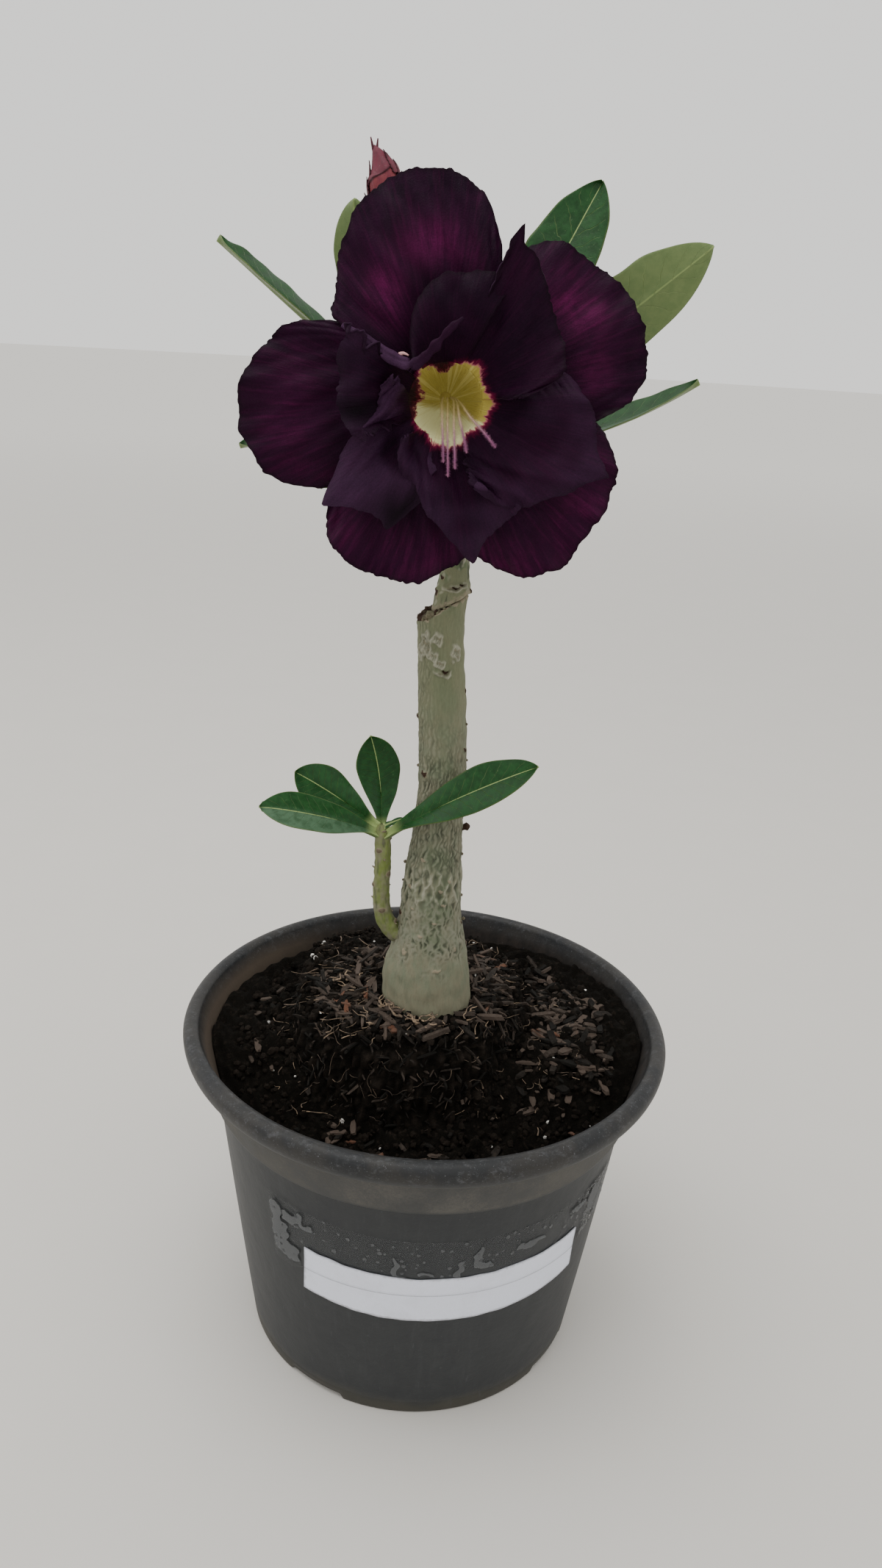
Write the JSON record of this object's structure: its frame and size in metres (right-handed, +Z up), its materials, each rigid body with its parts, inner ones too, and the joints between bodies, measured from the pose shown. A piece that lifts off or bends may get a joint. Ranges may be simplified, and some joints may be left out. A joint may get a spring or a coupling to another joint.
{
  "type": "potted desert rose",
  "caption": "Grafted desert rose with a swollen grey trunk, a side shoot, glossy leaves, a double dark purple flower and a bud, in a round plastic nursery pot.",
  "frame": {"origin": "centre of the pot's foot, on the surface that the pot stands on", "axes": "+Z up along the trunk, -Y the way the flower faces, +X to the viewer's right"},
  "size_m": [0.15, 0.15, 0.3492],
  "materials": {
    "pot": "scuffed black polythene, dusty at the collar",
    "paper": "bare bluish-white paper with a faint crease",
    "tape": "clear adhesive tape with bubbles",
    "mix": "loose potting mix of crumbs and bark chips",
    "soil": "bound root ball of dark soil with fibres",
    "bark": "smooth grey-green bark with a paler net",
    "shoot": "young olive-green bark with leaf scars",
    "leaf": "glossy fleshy leaf",
    "calyx": "dull reddish green",
    "petal": "velvety near-black purple",
    "throat": "soft yellow-green, cream below",
    "tails": "hairy pink threads",
    "bud": "dusty burgundy"
  },
  "bodies": {
    "root": {"pot": "pot", "paper_label": "paper", "clear_tape": "tape", "potting_mix": "mix", "root_ball": "soil", "rootstock": "bark", "scion_stem": "bark", "side_shoot": "shoot", "calyx": "calyx", "outer_corolla": "petal", "inner_corolla": "petal", "throat": "throat", "anther_tails": "tails", "bud": "bud", "shoot_leaf_left_low": "leaf", "shoot_leaf_left": "leaf", "shoot_leaf_upright": "leaf", "shoot_leaf_right": "leaf", "shoot_leaf_small": "leaf", "crown_leaf_1": "leaf", "crown_leaf_2": "leaf", "crown_leaf_3": "leaf", "crown_leaf_4": "leaf", "crown_leaf_5": "leaf", "crown_leaf_6": "leaf", "crown_leaf_7": "leaf", "crown_leaf_8": "leaf", "crown_leaf_9": "leaf", "crown_leaf_10": "leaf", "crown_leaf_11": "leaf"}
  },
  "joints": []
}
